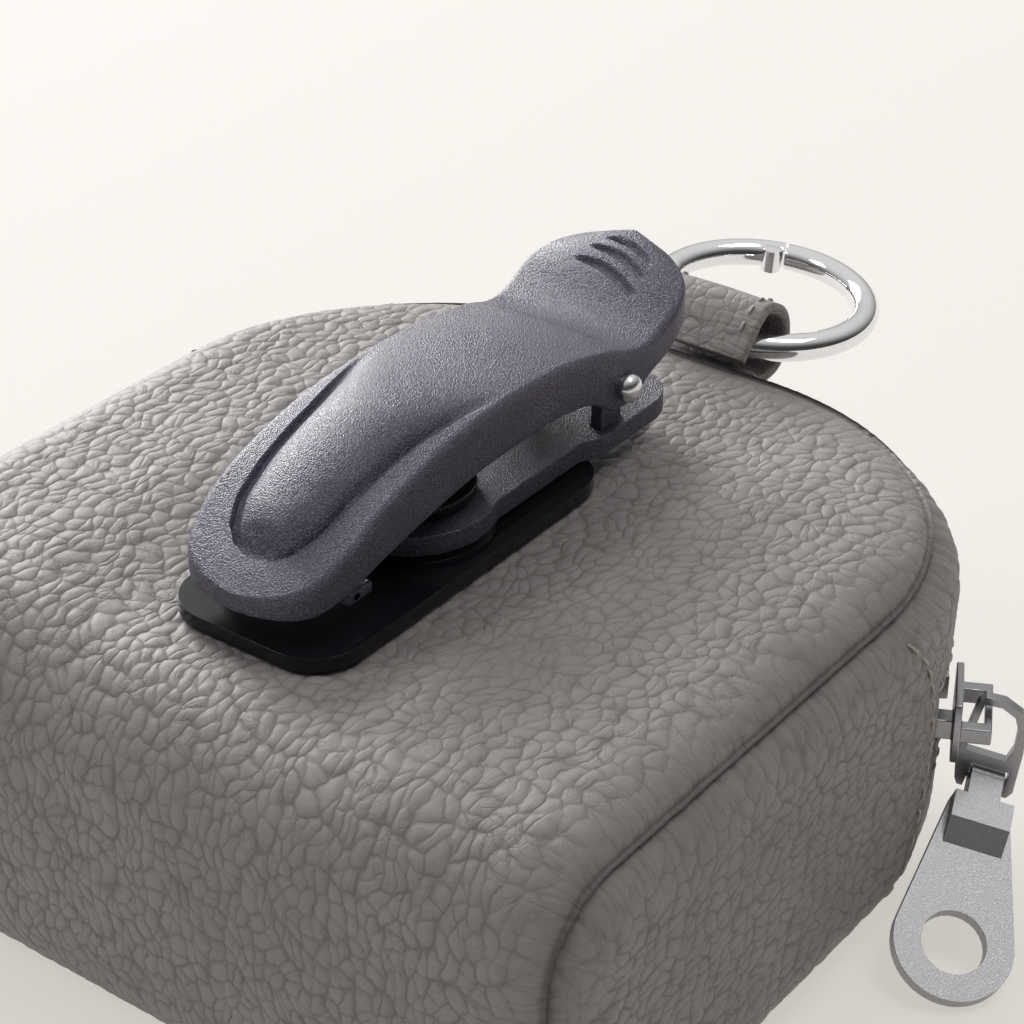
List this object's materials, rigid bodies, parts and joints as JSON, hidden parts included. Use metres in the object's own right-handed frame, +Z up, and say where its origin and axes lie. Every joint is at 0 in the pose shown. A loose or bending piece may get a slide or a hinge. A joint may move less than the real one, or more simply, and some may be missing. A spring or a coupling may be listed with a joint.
{
  "type": "golf ball pouch",
  "caption": "Small padded leather pouch for golf balls, with a wrap-round zip, a swivelling spring belt clip on its back and a spring ring in a strap loop at its far end.",
  "frame": {"origin": "middle of the flat face of the front panel, on which the pouch lies", "axes": "+Z up out of the back panel towards the clip, +Y towards the far end with the ring, +X to the side that the zip slider is on"},
  "size_m": [0.1198, 0.1331, 0.067],
  "materials": {
    "leather": "pebbled, satin",
    "zip_fabric": "woven",
    "clip_plastic": "fine textured, satin",
    "chrome": "polished",
    "satin_metal": "satin nickel"
  },
  "bodies": {
    "pouch": {"main_panel": "leather", "side_gusset_right": "leather", "side_gusset_left": "leather", "zip_strip_back": "leather", "zip_strip_front": "leather", "zip_tape": "zip_fabric", "zip_teeth": "satin_metal", "zip_slider": "satin_metal", "strap_loop": "leather", "mounting_plate": "clip_plastic", "swivel_rivet": "clip_plastic"},
    "clip_base": {"clip_jaw": "clip_plastic", "clip_pin": "satin_metal"},
    "lever": {"clip_lever": "clip_plastic"},
    "ring": {"ring_body": "chrome"},
    "gate": {"ring_gate": "chrome"},
    "link": {"pull_link": "satin_metal"},
    "tab": {"pull_tab": "satin_metal"}
  },
  "joints": [
    {"name": "clip_swivel", "type": "hinge", "parent": "pouch", "child": "clip_base", "pos_m": [0, -0.0092, 0.05], "axis": [0, 0, 1], "continuous": true},
    {"name": "lever_hinge", "type": "hinge", "parent": "clip_base", "child": "lever", "pos_m": [0, 0.0165, 0.0575], "axis": [-1, 0, 0], "range_deg": [0, 28], "stiffness_Nm_per_rad": 0.5, "springref_deg": -20.05},
    {"name": "ring_swing", "type": "hinge", "parent": "pouch", "child": "ring", "pos_m": [0, 0.052, 0.0467], "axis": [1, 0, 0], "range_deg": [-80, 100]},
    {"name": "gate_hinge", "type": "hinge", "parent": "ring", "child": "gate", "pos_m": [-0.00523, 0.07439, 0.04636], "axis": [0.0645, 0.0349, 0.9973], "range_deg": [0, 25], "stiffness_Nm_per_rad": 0.05, "springref_deg": -17.19},
    {"name": "link_hinge", "type": "hinge", "parent": "pouch", "child": "link", "pos_m": [0.05381, 0.02876, 0.0234], "axis": [0.454, -0.891, 0], "range_deg": [-3, 45]},
    {"name": "tab_hinge", "type": "hinge", "parent": "link", "child": "tab", "pos_m": [0.05423, 0.02898, 0.01443], "axis": [0.8645, 0.4405, -0.2419], "range_deg": [-55, 140]}
  ]
}
